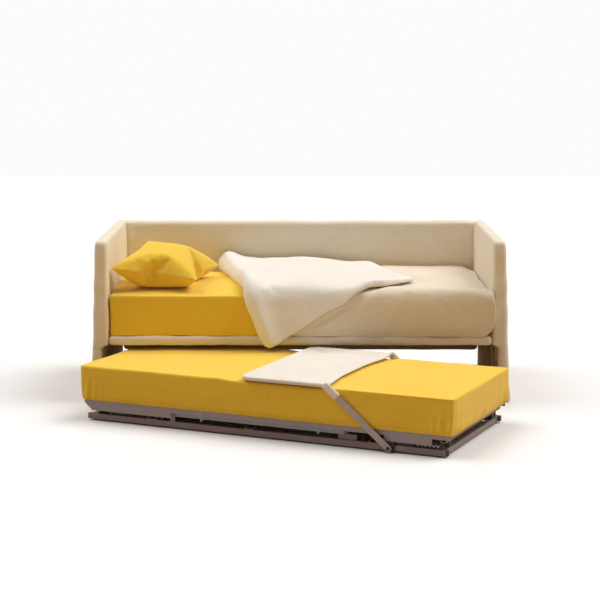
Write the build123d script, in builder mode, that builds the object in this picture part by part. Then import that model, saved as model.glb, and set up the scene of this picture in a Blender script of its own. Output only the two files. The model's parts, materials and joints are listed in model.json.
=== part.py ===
import os
from math import atan2, ceil, cos, degrees, hypot, pi, radians, sin

from build123d import *

os.makedirs("parts", exist_ok=True)

# Sofa bed with a second bed on castors that pulls out from beneath it.
# The pieces are drawn from the floor under the middle of the front face of the sofa, and each is
# then moved so that the origin is on the floor under the middle of the whole object.
# X runs along the sofa, +Y to its back, +Z up. Millimetres.
origin_forward = 67.0  # the origin lies this far in front of the front face of the sofa

# Fits and seats
seat_gap = 0.3  # soft pieces lie this far from what carries them
running_gap = 0.1  # radial play of a pin in its hole
side_play = 0.5  # play beside an arm, wheel or roller
overrun = 5.0  # cuts run past the faces that they open

# Sofa shell
sofa_width = 2080.0
sofa_depth = 1000.0
sofa_height = 815.0
panel_thickness = 85.0
panel_relief = 33.0  # the bare lower part of a side panel stands back this far from the padding
panel_round = 26.0
post_round = 30.0
relief_round = 20.0  # the front edge of the bare part, past which the lower bed swings in
board_thickness = 22.0
board_inset = 30.0  # the board lies this deep inside the padding
back_gap = 95.0  # daylight between the floor and the back panel
glide_height = 8.0
glide_radius = 16.0
glide_inset = 70.0

# Seat rails, ledges and slats of the upper bed
rail_bottom = 290.0
rail_height = 70.0
rail_thickness = 70.0
rail_round = 14.0
rail_core_thickness = 24.0
rail_core_height = 40.0
rear_rail_thickness = 28.0
rear_rail_height = 50.0
ledge_width = 26.0
ledge_height = 30.0
seat_slat_count = 14
seat_slat_width = 68.0
seat_slat_thickness = 10.0
shoe_length = 26.0
shoe_wall = 3.0
bracket_leg = 44.0
bracket_thickness = 3.0
bracket_height = 36.0
bolt_radius = 3.0
bolt_head_radius = 6.0
bolt_head_height = 3.5
bolt_length = 14.0

# Upper mattress and bedding
upper_mattress_height = 206.0
upper_mattress_margin = 8.0
mattress_front_set = 12.0
mattress_edge_round = 26.0
mattress_corner_round = 50.0
mattress_crown = 8.0
duvet_back_left = -455.0  # the left end of the duvet runs slanting from here at the back
duvet_front_left = -278.0  # to here at the front edge
duvet_hem_left = -205.0  # and to here at the hem
duvet_thickness = 30.0
duvet_overhang = 26.0
duvet_hem_height = 366.0
duvet_fold_radius = 34.0
duvet_inner_radius = 8.0
duvet_ripple = 5.0
flap_thickness = 28.0
flap_tip_x = 575.0
flap_tip_y = 250.0
flap_back_right = 460.0
flap_front_right = 400.0
flap_low_left = -176.0
flap_low_height = 292.0
pillow_length = 620.0
pillow_width = 372.0
pillow_height = 150.0
pillow_turn = 68.0
pillow_centre_x = -674.0
pillow_centre_y = 450.0
pillow_tilt = 5.0
pillow_waist = 16.0
pillow_corner = 34.0

# Lower bed, in its own plan: length along its own X, width along its own Y
bed_turn = -24.5  # degrees from the line of the sofa
bed_centre_x = -30.0
bed_centre_y = -400.0
lower_mattress_length = 1880.0
lower_mattress_width = 790.0
lower_mattress_height = 162.0
lower_corner_round = 60.0
lower_edge_round = 22.0
lower_crown = 5.0

# Base frame of the lower bed
base_length = 1804.0
base_width = 766.0
base_bottom = 8.0
base_tube_height = 26.0
base_tube_width = 25.0
base_tube_wall = 2.0
cap_length = 6.0
cross_height = 12.0
cross_width = 40.0
cross_wall = 2.5
castor_along = 560.0
castor_across = 290.0

# Castors
wheel_radius = 13.5
wheel_width = 11.0
wheel_bore = 3.0
wheel_shoulder = 2.5
castor_trail = 13.0
fork_wall = 2.0
fork_crown = 2.0
race_radius = 9.0
race_height = 2.0
plate_side = 38.0
plate_thickness = 1.8
guide_along = -50.0
guide_across = 60.0

# Bed frame of the lower bed
frame_length = 1850.0
frame_width = 770.0
frame_bottom = 50.0
frame_rail_height = 50.0
frame_wall = 2.5
frame_flange = 28.0
frame_tip = 40.0
window_left = -455.0
window_right = 612.0
window_height = 26.0
corner_notch_length = 88.0
corner_notch_height = 30.0
end_tube_width = 25.0
end_tube_height = 30.0
frame_slat_count = 14
frame_slat_width = 62.0
frame_slat_thickness = 9.0
holder_length = 30.0
holder_height = 15.0
holder_wall = 3.0
holder_lap = 4.0
slat_grip = 22.0
end_tube_wall = 2.0
end_tube_inset = 35.0
pad_length = 18.0
pad_width = 34.0
pad_across = 300.0
gusset_leg = 34.0
gusset_wall = 2.5

# Scissor lift
arm_half = 440.0
arm_centre = -10.0
arm_height = 16.0
arm_wall = 6.0
arm_axis_height = 67.0
lug_wall = 3.0
lug_length = 26.0
pin_radius = 4.0
pin_head_radius = 6.5
pin_head = 1.2
roller_radius = 8.7
outer_tie_along = -300.0
inner_tie_along = 290.0
tie_radius = 5.0
tie_drop = 14.0
tie_boss = 6.0
track_length = 90.0
arm_layer = 1.0  # clear space between the rail and the first lug

# Lift springs
spring_left = 738.0
spring_pitch = 19.0
spring_curls = 6
spring_radius = 6.5
wire_radius = 1.5
spring_axis_height = 43.5
spring_bend = 2.6
housing_radius = 7.5
housing_length = 74.0
hook_length = 10.0
hook_width = 13.0

# Headrest
headrest_pivot_along = 640.0
headrest_pivot_height = 22.0
headrest_near = 338.0
headrest_far = -95.0
headrest_bar_width = 30.0
headrest_bar_wall = 4.0
headrest_bar_gap = 7.0
headrest_thickness = 20.0
headrest_lift = 6.0
headrest_hem = 6.0  # the sleeve reaches this far past the arms
headrest_tube_radius = 6.5
headrest_bend = 60.0
headrest_pin_radius = 5.0
collar_radius = 9.0
bolt_stub = 3.9
bracket_wall = 5.0
bracket_stand = 3.5
bracket_width = 46.0
bracket_foot = 22.0
bracket_foot_height = 7.0
bracket_top = 84.0

# Levels and faces worked out from the sizes above
half_width = sofa_width / 2
inner_half = half_width - panel_thickness
slot_half = inner_half + panel_relief
back_front = sofa_depth - panel_thickness
rail_top = rail_bottom + rail_height
slat_top = rail_top - seat_gap
upper_bottom = rail_top
upper_top = upper_bottom + upper_mattress_height
upper_half = inner_half - upper_mattress_margin
upper_back = back_front - upper_mattress_margin
base_top = base_bottom + base_tube_height
frame_top = frame_bottom + frame_rail_height
lower_bottom = frame_top + seat_gap
lower_top = lower_bottom + lower_mattress_height
frame_face = frame_width / 2
base_face = base_width / 2
window_top = frame_bottom + window_height
cross_top = base_top + cross_height

bed = Plane(
    origin=(bed_centre_x, bed_centre_y, 0),
    x_dir=(cos(radians(bed_turn)), sin(radians(bed_turn)), 0),
    z_dir=(0, 0, 1),
)


def bed_front(across):
    """Upright plane in the lower bed that faces its front, at a place across its width."""
    return Plane(origin=bed.from_local_coords((0, across, 0)), x_dir=bed.x_dir, z_dir=-bed.y_dir)


def bed_end(along):
    """Upright plane in the lower bed that faces its right end, at a place along its length."""
    return Plane(origin=bed.from_local_coords((along, 0, 0)), x_dir=bed.y_dir, z_dir=bed.x_dir)


def slab(plane, along, across, levels, mode=Mode.ADD):
    """A straight-sided block between two places along, two across and two levels."""
    with BuildSketch(plane.offset(levels[0])) as outline:
        with Locations(((along[0] + along[1]) / 2, (across[0] + across[1]) / 2)):
            Rectangle(along[1] - along[0], across[1] - across[0])
    extrude(outline.sketch, amount=levels[1] - levels[0], mode=mode)


def disc(plane, centre, radius, levels, mode=Mode.ADD):
    """A round bar or hole square to a plane, between two levels."""
    with BuildSketch(plane.offset(levels[0])) as outline:
        with Locations(centre):
            Circle(radius)
    extrude(outline.sketch, amount=levels[1] - levels[0], mode=mode)


def save(piece, label):
    """Move a finished piece to the origin of the whole object, name it and write it to its own file."""
    moved = Pos(0, origin_forward, 0) * piece
    moved.label = label
    export_step(moved, "parts/" + label + ".step")


# Side panels: a padded shell with soft edges round a board, bare and thinner below the seat
for side, side_name in ((-1, "left"), (1, "right")):
    outer = side * half_width
    inner = side * inner_half
    span = (min(outer, inner), max(outer, inner))
    relief = (min(inner, side * slot_half), max(inner, side * slot_half))
    board_outer = side * (half_width - board_inset)
    board_inner = side * (half_width - board_inset - board_thickness)
    board = (min(board_outer, board_inner), max(board_outer, board_inner))
    with BuildPart() as shell:
        with BuildSketch(Plane.XY.offset(glide_height)) as plan:
            with Locations(((span[0] + span[1]) / 2, sofa_depth / 2)):
                RectangleRounded(panel_thickness, sofa_depth, post_round)
        extrude(plan.sketch, amount=sofa_height - glide_height)
        fillet(shell.faces().sort_by(Axis.Z)[-1].edges(), panel_round)
        slab(Plane.XY, relief, (-overrun, sofa_depth + overrun), (glide_height - overrun, rail_bottom), Mode.SUBTRACT)
        bare_face = shell.edges().filter_by(Axis.Z).filter_by_position(
            Axis.X, side * slot_half - running_gap, side * slot_half + running_gap
        )
        fillet(bare_face.sort_by(Axis.Y)[0], relief_round)
        slab(
            Plane.XY,
            board,
            (board_inset, sofa_depth - board_inset),
            (glide_height - overrun, sofa_height - board_inset),
            Mode.SUBTRACT,
        )
    save(shell.part, side_name + "_side_panel")
    with BuildPart() as frame:
        slab(
            Plane.XY,
            (board[0] + seat_gap, board[1] - seat_gap),
            (board_inset + seat_gap, sofa_depth - board_inset - seat_gap),
            (glide_height, sofa_height - board_inset - seat_gap),
        )
    save(frame.part, side_name + "_side_board")

# Back panel: padded shell round its board, between the side panels, with daylight beneath
with BuildPart() as back_panel:
    slab(
        Plane.XY,
        (-inner_half + seat_gap, inner_half - seat_gap),
        (back_front, sofa_depth),
        (back_gap, sofa_height),
    )
    fillet(back_panel.edges().filter_by(Axis.X).group_by(Axis.Z)[-1], panel_round)
    slab(
        Plane.XY,
        (-inner_half + board_inset, inner_half - board_inset),
        (back_front + board_inset, back_front + board_inset + board_thickness),
        (back_gap - overrun, sofa_height - board_inset),
        Mode.SUBTRACT,
    )
save(back_panel.part, "back_panel")
with BuildPart() as back_board:
    slab(
        Plane.XY,
        (-inner_half + board_inset + seat_gap, inner_half - board_inset - seat_gap),
        (back_front + board_inset + seat_gap, back_front + board_inset + board_thickness - seat_gap),
        (back_gap, sofa_height - board_inset - seat_gap),
    )
save(back_board.part, "back_board")

# Glides under the side panels
with BuildPart() as floor_glides:
    for side in (-1, 1):
        for across in (glide_inset, sofa_depth - glide_inset):
            disc(Plane.XY, (side * (half_width - board_inset - board_thickness / 2), across), glide_radius, (0, glide_height))
save(floor_glides.part, "floor_glides")

# Front rail: an upholstered roll round a wooden core
core_back = rail_thickness - rail_round
with BuildPart() as front_rail:
    with BuildSketch(Plane.YZ.offset(-inner_half + seat_gap)) as roll:
        with Locations((rail_thickness / 2, rail_bottom + rail_height / 2)):
            RectangleRounded(rail_thickness, rail_height, rail_round)
        with Locations((core_back - rail_core_thickness / 2, rail_bottom + rail_height / 2)):
            Rectangle(rail_core_thickness, rail_core_height, mode=Mode.SUBTRACT)
    extrude(roll.sketch, amount=2 * (inner_half - seat_gap))
save(front_rail.part, "front_rail")
with BuildPart() as front_rail_core:
    slab(
        Plane.XY,
        (-inner_half + seat_gap, inner_half - seat_gap),
        (core_back - rail_core_thickness + seat_gap, core_back - seat_gap),
        (
            rail_bottom + (rail_height - rail_core_height) / 2 + seat_gap,
            rail_bottom + (rail_height + rail_core_height) / 2 - seat_gap,
        ),
    )
save(front_rail_core.part, "front_rail_core")

# Rear rail, screwed to the back panel
rear_face = back_front - rear_rail_thickness
slat_bottom = slat_top - seat_slat_thickness
shoe_bottom = slat_bottom - shoe_wall
with BuildPart() as rear_rail:
    slab(
        Plane.XY,
        (-inner_half + seat_gap, inner_half - seat_gap),
        (rear_face, back_front - seat_gap),
        (shoe_bottom - rear_rail_height, shoe_bottom),
    )
    chamfer(rear_rail.edges().filter_by(Axis.X), shoe_wall)
save(rear_rail.part, "rear_rail")

# Ledge under the front ends of the slats, fixed behind the front rail
with BuildPart() as front_ledge:
    slab(
        Plane.XY,
        (-inner_half + seat_gap, inner_half - seat_gap),
        (rail_thickness + seat_gap, rail_thickness + seat_gap + ledge_width),
        (shoe_bottom - ledge_height, shoe_bottom),
    )
    chamfer(front_ledge.edges().filter_by(Axis.X), shoe_wall)
save(front_ledge.part, "front_ledge")

# Slats of the upper bed with a plastic shoe on each end
slat_front = rail_thickness + seat_gap + shoe_wall
slat_rear = back_front - seat_gap - shoe_wall
slat_pitch = (2 * inner_half - ledge_width) / seat_slat_count
slat_places = [(index - (seat_slat_count - 1) / 2) * slat_pitch for index in range(seat_slat_count)]
with BuildPart() as seat_slats:
    for place in slat_places:
        slab(
            Plane.XY,
            (place - seat_slat_width / 2, place + seat_slat_width / 2),
            (slat_front, slat_rear),
            (slat_bottom, slat_top),
        )
save(seat_slats.part, "seat_slats")
with BuildPart() as slat_shoes:
    for place in slat_places:
        for near, far in (
            (slat_front - shoe_wall, slat_front - shoe_wall + shoe_length),
            (slat_rear + shoe_wall - shoe_length, slat_rear + shoe_wall),
        ):
            slab(
                Plane.XY,
                (place - seat_slat_width / 2 - shoe_wall, place + seat_slat_width / 2 + shoe_wall),
                (near, far),
                (shoe_bottom, slat_top),
            )
        slab(
            Plane.XY,
            (place - seat_slat_width / 2, place + seat_slat_width / 2),
            (slat_front, slat_rear),
            (slat_bottom, slat_top + overrun),
            Mode.SUBTRACT,
        )
save(slat_shoes.part, "slat_shoes")

# Steel angles that tie the rails to the side panels, with their bolts
bracket_places = (
    (rail_thickness + seat_gap + ledge_width + seat_gap, 1),
    (rear_face - seat_gap, -1),
)
bracket_bottom = shoe_bottom - ledge_height
with BuildPart() as corner_brackets:
    for side in (-1, 1):
        wall_face = side * (inner_half - seat_gap)
        for face, turn in bracket_places:
            with BuildSketch(Plane.XY.offset(bracket_bottom)) as angle:
                with BuildLine():
                    Polyline(
                        (wall_face, face),
                        (wall_face - side * bracket_leg, face),
                        (wall_face - side * bracket_leg, face + turn * bracket_thickness),
                        (wall_face - side * bracket_thickness, face + turn * bracket_thickness),
                        (wall_face - side * bracket_thickness, face + turn * bracket_leg),
                        (wall_face, face + turn * bracket_leg),
                        close=True,
                    )
                make_face()
            extrude(angle.sketch, amount=bracket_height)
save(corner_brackets.part, "corner_brackets")
with BuildPart() as bracket_bolts:
    for side in (-1, 1):
        head = side * (inner_half - seat_gap - bracket_thickness)
        for face, turn in bracket_places:
            centre = (face + turn * bracket_leg * 2 / 3, bracket_bottom + bracket_height / 2)
            inward = (min(head, head - side * bolt_head_height), max(head, head - side * bolt_head_height))
            disc(Plane.YZ, centre, bolt_head_radius, inward)
save(bracket_bolts.part, "bracket_bolts")

# Upper mattress: crowned top, rounded in plan and along its edges
with BuildPart() as upper_mattress:
    with BuildSketch(Plane.XY.offset(upper_bottom)) as plan:
        with Locations((0, (mattress_front_set + upper_back) / 2)):
            RectangleRounded(2 * upper_half, upper_back - mattress_front_set, mattress_corner_round)
    extrude(plan.sketch, amount=upper_mattress_height - mattress_crown)
    fillet(upper_mattress.faces().sort_by(Axis.Z)[-1].edges(), mattress_edge_round)
    fillet(upper_mattress.faces().sort_by(Axis.Z)[0].edges(), mattress_edge_round / 2)
save(upper_mattress.part, "upper_mattress")

# Duvet: one body over the mattress that rolls over its front edge and hangs down to the hem
duvet_right = inner_half - upper_mattress_margin / 2
duvet_back = upper_back - upper_mattress_margin
front_inner = mattress_front_set - seat_gap
front_outer = front_inner - duvet_overhang
top_inner = upper_top - mattress_crown + seat_gap
top_outer = top_inner + duvet_thickness


def duvet_section(place, swell):
    """Cross-section of the duvet at a place along the sofa, thicker by a swell."""
    outer_y = front_outer - swell
    outer_z = top_outer + swell
    bend = duvet_fold_radius + swell
    with BuildSketch(Plane.YZ.offset(place)) as section:
        with BuildLine():
            Polyline(
                (front_inner, duvet_hem_height),
                (outer_y, duvet_hem_height + duvet_inner_radius),
                (outer_y, outer_z - bend),
            )
            RadiusArc((outer_y, outer_z - bend), (outer_y + bend, outer_z), bend)
            Polyline(
                (outer_y + bend, outer_z),
                (duvet_back - duvet_thickness, outer_z),
                (duvet_back, top_inner + duvet_thickness / 2),
                (duvet_back, top_inner),
                (front_inner + duvet_inner_radius, top_inner),
                (front_inner, top_inner - duvet_inner_radius),
                (front_inner, duvet_hem_height),
            )
        make_face()
    return section.sketch


duvet_swell_shares = (0.2, 1.0, 0.1, 0.8, 0.0, 1.0, 0.4, 0.9, 0.2)
duvet_end = Plane(
    origin=(duvet_front_left, front_outer, top_outer),
    x_dir=(duvet_back_left - duvet_front_left, duvet_back - front_outer, 0),
    z_dir=Vector(duvet_back_left - duvet_front_left, duvet_back - front_outer, 0).cross(
        Vector(duvet_hem_left - duvet_front_left, 0, duvet_hem_height - top_outer)
    ),
)
with BuildPart() as duvet:
    stations = []
    for index, share in enumerate(duvet_swell_shares):
        place = duvet_back_left + (duvet_right - duvet_back_left) * index / (len(duvet_swell_shares) - 1)
        stations.append(duvet_section(place, share * duvet_ripple))
    loft(stations, ruled=True)
    split(bisect_by=duvet_end, keep=Keep.BOTTOM)
save(duvet.part, "duvet")

# Folded-back corner of the duvet: lies on top of it and hangs over its front
flap_rise = duvet_ripple + seat_gap
flap_inner_y = front_outer - flap_rise
flap_inner_z = top_outer + flap_rise
flap_outer_y = flap_inner_y - flap_thickness
flap_outer_z = flap_inner_z + flap_thickness
flap_inner_bend = duvet_fold_radius
flap_outer_bend = duvet_fold_radius + flap_thickness
flap_back = duvet_back - duvet_thickness
with BuildPart() as duvet_flap:
    with BuildSketch(Plane.YZ.offset(duvet_back_left)) as sheet_section:
        with BuildLine():
            Line((flap_inner_y, flap_low_height), (flap_inner_y, flap_inner_z - flap_inner_bend))
            RadiusArc(
                (flap_inner_y, flap_inner_z - flap_inner_bend),
                (flap_inner_y + flap_inner_bend, flap_inner_z),
                flap_inner_bend,
            )
            Polyline(
                (flap_inner_y + flap_inner_bend, flap_inner_z),
                (flap_back, flap_inner_z),
                (flap_back, flap_outer_z),
                (flap_outer_y + flap_outer_bend, flap_outer_z),
            )
            RadiusArc(
                (flap_outer_y, flap_outer_z - flap_outer_bend),
                (flap_outer_y + flap_outer_bend, flap_outer_z),
                flap_outer_bend,
            )
            Polyline(
                (flap_outer_y, flap_outer_z - flap_outer_bend),
                (flap_outer_y, flap_low_height),
                (flap_inner_y, flap_low_height),
            )
        make_face()
    extrude(sheet_section.sketch, amount=flap_tip_x - duvet_back_left)
    with BuildSketch(Plane.XY.offset(flap_inner_z - flap_outer_bend)) as top_outline:
        with BuildLine():
            Polyline(
                (duvet_back_left, flap_back),
                (duvet_front_left, flap_outer_y),
                (flap_front_right, flap_outer_y),
                (flap_tip_x, flap_tip_y),
                (flap_back_right, flap_back),
                close=True,
            )
        make_face()
    with BuildSketch(Plane.XZ.offset(-flap_inner_y - flap_inner_bend)) as front_outline:
        with BuildLine():
            Polyline(
                (duvet_front_left, flap_outer_z),
                (flap_low_left, flap_low_height),
                (flap_front_right, flap_outer_z),
                close=True,
            )
        make_face()
    top_mask = extrude(top_outline.sketch, amount=2 * flap_outer_bend, mode=Mode.PRIVATE)
    front_mask = extrude(front_outline.sketch, amount=2 * flap_outer_bend, mode=Mode.PRIVATE)
    add(top_mask + front_mask, mode=Mode.INTERSECT)
save(duvet_flap.part, "duvet_flap")

# Pillow: crowned, with drawn-in sides between its corners, propped at its far end
pillow_plane = Plane(
    origin=(pillow_centre_x, pillow_centre_y, upper_top - mattress_crown + seat_gap),
    x_dir=(cos(radians(pillow_turn)), sin(radians(pillow_turn)), 0),
    z_dir=(0, 0, 1),
).rotated((0, -pillow_tilt, 0))
pillow_level_shares = (0.0, 0.1, 0.3, 0.45, 0.6, 0.8, 0.94, 1.0)
pillow_size_shares = (0.52, 0.78, 0.96, 1.0, 0.97, 0.84, 0.6, 0.32)
with BuildPart() as pillow:
    rings = []
    for level_share, size_share in zip(pillow_level_shares, pillow_size_shares):
        half_long = pillow_length / 2 * size_share
        half_wide = pillow_width / 2 * size_share
        waist = pillow_waist * size_share
        with BuildSketch(pillow_plane.offset(level_share * pillow_height)) as ring:
            with BuildLine():
                corners = [
                    (-half_long, -half_wide),
                    (half_long, -half_wide),
                    (half_long, half_wide),
                    (-half_long, half_wide),
                ]
                middles = [
                    (0, waist - half_wide),
                    (half_long - waist, 0),
                    (0, half_wide - waist),
                    (waist - half_long, 0),
                ]
                for number, corner in enumerate(corners):
                    ThreePointArc(corner, middles[number], corners[(number + 1) % len(corners)])
            make_face()
            fillet(ring.vertices(), pillow_corner * size_share)
        rings.append(ring.sketch)
    loft(rings, ruled=True)
pillow_rise = upper_top - mattress_crown + seat_gap - pillow.part.bounding_box().min.Z
save(Pos(0, 0, pillow_rise) * pillow.part, "pillow")

# Lower mattress
with BuildPart() as lower_mattress:
    with BuildSketch(bed.offset(lower_bottom)) as plan:
        RectangleRounded(lower_mattress_length, lower_mattress_width, lower_corner_round)
    extrude(plan.sketch, amount=lower_mattress_height - lower_crown)
    fillet(lower_mattress.faces().sort_by(Axis.Z)[-1].edges(), lower_edge_round)
    fillet(lower_mattress.faces().sort_by(Axis.Z)[0].edges(), lower_edge_round / 2)
save(lower_mattress.part, "lower_mattress")

# Base frame: rectangular tubes, the long ones open at their ends for plastic caps
base_half = base_length / 2
for sign, rail_name in ((-1, "front"), (1, "rear")):
    across = (base_face - base_tube_width, base_face) if sign > 0 else (-base_face, base_tube_width - base_face)
    with BuildPart() as base_rail:
        with BuildSketch(bed_end(-base_half)) as tube:
            with Locations(((across[0] + across[1]) / 2, base_bottom + base_tube_height / 2)):
                Rectangle(base_tube_width, base_tube_height)
                Rectangle(
                    base_tube_width - 2 * base_tube_wall, base_tube_height - 2 * base_tube_wall, mode=Mode.SUBTRACT
                )
        extrude(tube.sketch, amount=base_length)
    save(base_rail.part, "base_" + rail_name + "_rail")
with BuildPart() as base_end_bars:
    for sign in (-1, 1):
        place = sign * (base_half - cap_length - base_tube_width / 2)
        with BuildSketch(bed_front(-base_face + base_tube_width)) as tube:
            with Locations((place, base_bottom + base_tube_height / 2)):
                Rectangle(base_tube_width, base_tube_height)
                Rectangle(
                    base_tube_width - 2 * base_tube_wall, base_tube_height - 2 * base_tube_wall, mode=Mode.SUBTRACT
                )
        extrude(tube.sketch, amount=-2 * (base_face - base_tube_width))
save(base_end_bars.part, "base_end_bars")
with BuildPart() as base_end_caps:
    for sign in (-1, 1):
        for centre in (-base_face + base_tube_width / 2, base_face - base_tube_width / 2):
            near = base_half if sign > 0 else -base_half - cap_length
            with BuildSketch(bed_end(near)) as face:
                with Locations((centre, base_bottom + base_tube_height / 2)):
                    RectangleRounded(base_tube_width, base_tube_height, base_tube_wall)
            extrude(face.sketch, amount=cap_length)
save(base_end_caps.part, "base_end_caps")

# Cross members on the base rails: hat channels that carry the castors and the guide castor
cross_places = (-castor_along, guide_along, castor_along)
with BuildPart() as base_cross_members:
    for place in cross_places:
        with BuildSketch(bed_front(-base_face)) as channel:
            with Locations((place, base_top + cross_height / 2)):
                Rectangle(cross_width, cross_height)
            with Locations((place, base_top + (cross_height + cross_wall) / 2)):
                Rectangle(cross_width - 2 * cross_wall, cross_height - cross_wall, mode=Mode.SUBTRACT)
        extrude(channel.sketch, amount=-base_width)
save(base_cross_members.part, "base_cross_members")

# Castors: plate and race on the base, fork that swivels, wheel that spins on its axle
castor_places = [(x, y) for x in (-castor_along, castor_along) for y in (-castor_across, castor_across)]
plate_bottom = base_top - plate_thickness
race_bottom = plate_bottom - race_height
crown_top = race_bottom - running_gap
crown_bottom = crown_top - fork_crown
stem_radius = race_radius / 2
guide_plane = Plane(origin=bed.from_local_coords((guide_along, guide_across, 0)))
cheek_gap = wheel_width / 2 + wheel_shoulder


def castor_fork(stem_plane):
    """A fork under a stem: crown, two cheeks, the stem up into the plate and the axle."""
    disc(stem_plane, (0, 0), race_radius, (crown_bottom, crown_top))
    disc(stem_plane, (0, 0), stem_radius - running_gap, (crown_bottom, plate_bottom))
    slab(
        stem_plane,
        (-race_radius, castor_trail),
        (-cheek_gap - fork_wall, cheek_gap + fork_wall),
        (crown_bottom, crown_top),
    )
    for cheek in (-1, 1):
        base = Plane(
            origin=stem_plane.from_local_coords((0, cheek * cheek_gap, 0)),
            x_dir=stem_plane.x_dir,
            z_dir=stem_plane.y_dir * cheek,
        )
        up = -cheek
        with BuildSketch(base) as cheek_face:
            with BuildLine():
                Polyline(
                    (castor_trail + race_radius / 2, up * wheel_radius),
                    (castor_trail, up * crown_top),
                    (-race_radius / 2, up * crown_top),
                    (castor_trail - race_radius / 2, up * (wheel_radius - race_radius / 2)),
                    close=True,
                )
            make_face()
        extrude(cheek_face.sketch, amount=fork_wall)
    axle_plane = Plane(
        origin=stem_plane.from_local_coords((castor_trail, 0, wheel_radius)),
        x_dir=stem_plane.x_dir,
        z_dir=stem_plane.y_dir,
    )
    disc(axle_plane, (0, 0), wheel_bore - running_gap, (-cheek_gap - fork_wall, cheek_gap + fork_wall))


def castor_wheel(stem_plane):
    """A wheel with a bore and a domed tread on the axle of its fork."""
    axle_plane = Plane(
        origin=stem_plane.from_local_coords((castor_trail, 0, wheel_radius)),
        x_dir=stem_plane.x_dir,
        z_dir=stem_plane.y_dir,
    )
    disc(axle_plane, (0, 0), wheel_radius, (-wheel_width / 2, wheel_width / 2))
    disc(axle_plane, (0, 0), wheel_bore, (-wheel_width, wheel_width), Mode.SUBTRACT)


for index, (along, across) in enumerate(castor_places):
    stem = Plane(origin=bed.from_local_coords((along, across, 0)), x_dir=bed.x_dir, z_dir=bed.z_dir)
    with BuildPart() as fork:
        castor_fork(stem)
    save(fork.part, "castor_fork_" + str(index + 1))
    with BuildPart() as wheel:
        castor_wheel(stem)
        chamfer(wheel.edges().filter_by(GeomType.CIRCLE).sort_by(SortBy.RADIUS)[-2:], wheel_shoulder / 2)
    save(wheel.part, "castor_wheel_" + str(index + 1))
guide_stem = Plane(origin=guide_plane.origin, x_dir=(0, 1, 0), z_dir=(0, 0, 1))
with BuildPart() as guide_fork:
    castor_fork(guide_stem)
save(guide_fork.part, "guide_fork")
with BuildPart() as guide_wheel:
    castor_wheel(guide_stem)
    chamfer(guide_wheel.edges().filter_by(GeomType.CIRCLE).sort_by(SortBy.RADIUS)[-2:], wheel_shoulder / 2)
save(guide_wheel.part, "guide_wheel")
with BuildPart() as castor_plates:
    for place in castor_places + [(guide_along, guide_across)]:
        with BuildSketch(bed.offset(plate_bottom)) as plate:
            with Locations(place):
                RectangleRounded(plate_side, plate_side, plate_thickness * 2)
        extrude(plate.sketch, amount=plate_thickness)
        disc(bed, place, race_radius, (race_bottom, plate_bottom))
        disc(bed, place, stem_radius, (race_bottom - overrun, plate_bottom), Mode.SUBTRACT)
save(castor_plates.part, "castor_plates")

# Bed frame rails: bent sheet with a web, a top flange and a window where the arms show
frame_half = frame_length / 2
flange_bottom = frame_top - frame_wall
for sign, rail_name in ((-1, "front"), (1, "rear")):
    outer = sign * frame_face
    with BuildPart() as frame_rail:
        with BuildSketch(bed_front(outer)) as web:
            with BuildLine():
                Polyline(
                    (-frame_half, frame_top),
                    (-frame_half, frame_top - end_tube_height / 2),
                    (-frame_half + frame_tip, frame_bottom),
                    (frame_half - corner_notch_length, frame_bottom),
                    (frame_half - corner_notch_length, frame_bottom + corner_notch_height),
                    (frame_half, frame_bottom + corner_notch_height),
                    (frame_half, frame_top),
                    close=True,
                )
            make_face()
            with Locations(((window_left + window_right) / 2, frame_bottom + window_height / 2)):
                Rectangle(window_right - window_left, window_height, mode=Mode.SUBTRACT)
            with Locations((frame_half - corner_notch_length - pin_head_radius, frame_bottom + pin_head_radius)):
                Circle(pin_radius / 2, mode=Mode.SUBTRACT)
        extrude(web.sketch, amount=sign * frame_wall)
        flange = (outer, outer - sign * frame_flange)
        slab(bed, (-frame_half, frame_half), (min(flange), max(flange)), (flange_bottom, frame_top))
    save(frame_rail.part, "bed_" + rail_name + "_rail")

# End tubes of the bed frame, between the rails
tube_top = flange_bottom
tube_bottom = tube_top - end_tube_height
tube_place = frame_half - end_tube_inset
tube_half = frame_face - frame_wall
with BuildPart() as bed_end_tubes:
    for sign in (-1, 1):
        with BuildSketch(bed_front(-tube_half)) as tube:
            with Locations((sign * tube_place, (tube_top + tube_bottom) / 2)):
                Rectangle(end_tube_width, end_tube_height)
                Rectangle(
                    end_tube_width - 2 * end_tube_wall, end_tube_height - 2 * end_tube_wall, mode=Mode.SUBTRACT
                )
        extrude(tube.sketch, amount=-2 * tube_half)
save(bed_end_tubes.part, "bed_end_tubes")

# Gussets that brace the corners of the bed frame under its flanges
with BuildPart() as bed_gussets:
    for sign_along in (-1, 1):
        for sign_across in (-1, 1):
            inner_along = sign_along * (tube_place - end_tube_width / 2)
            inner_across = sign_across * tube_half
            with BuildSketch(bed.offset(tube_top - gusset_wall)) as gusset:
                with BuildLine():
                    Polyline(
                        (inner_along, inner_across),
                        (inner_along - sign_along * gusset_leg, inner_across),
                        (inner_along, inner_across - sign_across * gusset_leg),
                        close=True,
                    )
                make_face()
            extrude(gusset.sketch, amount=gusset_wall)
save(bed_gussets.part, "bed_gussets")

# Pads on the base that the lowered bed frame rests on
with BuildPart() as rest_pads:
    for sign in (-1, 1):
        for across in (-pad_across, pad_across):
            place = sign * (base_half - cap_length - base_tube_width / 2)
            slab(
                bed,
                (place - pad_length / 2, place + pad_length / 2),
                (across - pad_width / 2, across + pad_width / 2),
                (base_top, tube_bottom - seat_gap),
            )
save(rest_pads.part, "rest_pads")

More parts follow.
